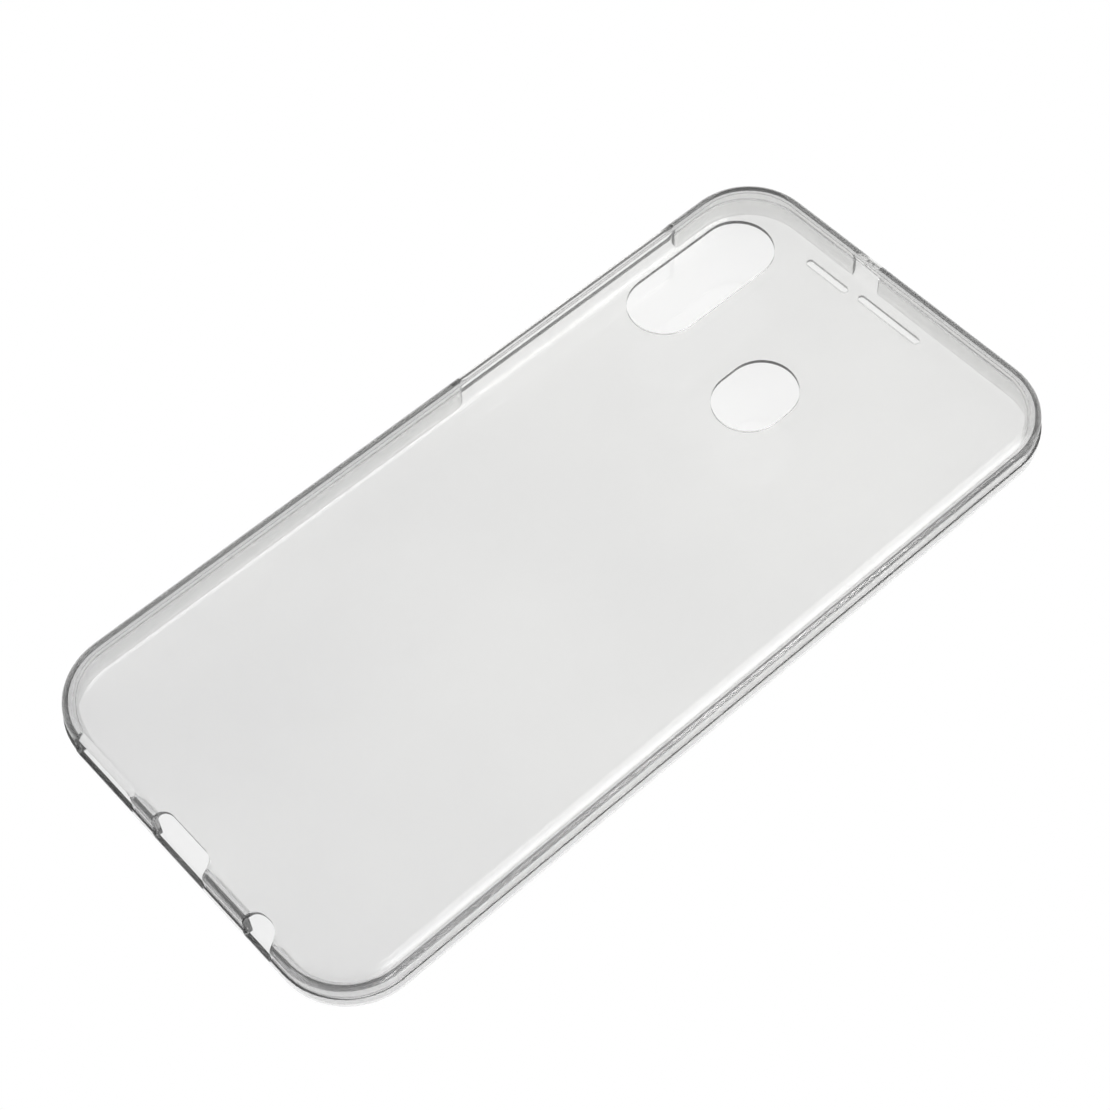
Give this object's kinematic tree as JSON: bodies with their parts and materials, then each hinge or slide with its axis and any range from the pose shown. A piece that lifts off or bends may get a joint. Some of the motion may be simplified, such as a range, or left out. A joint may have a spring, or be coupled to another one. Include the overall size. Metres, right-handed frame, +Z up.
{
  "type": "phone case",
  "caption": "Full-body clear phone case in two halves: a back shell with camera, fingerprint and port openings, and a front shell with a thin screen cover.",
  "frame": {"origin": "middle of the case's footprint, on the surface it lies on, at the outer face of the screen cover", "axes": "+Z up, from the screen cover to the back plate; +Y towards the top edge of the phone; +X to the right seen from the back, so the camera and button windows are at -X"},
  "size_m": [0.078, 0.161, 0.0092],
  "materials": {
    "clear_smoke_plastic": "glossy clear soft plastic with a faint smoke-grey tint",
    "clear_plastic": "glossy clear soft plastic, almost colourless"
  },
  "bodies": {
    "front_half": {"front_shell": "clear_plastic"},
    "back_half": {"back_shell": "clear_smoke_plastic"}
  },
  "joints": [
    {"name": "back_lift", "type": "slide", "parent": "front_half", "child": "back_half", "axis": [0, 0, 1], "range_m": [0, 0.03]}
  ]
}
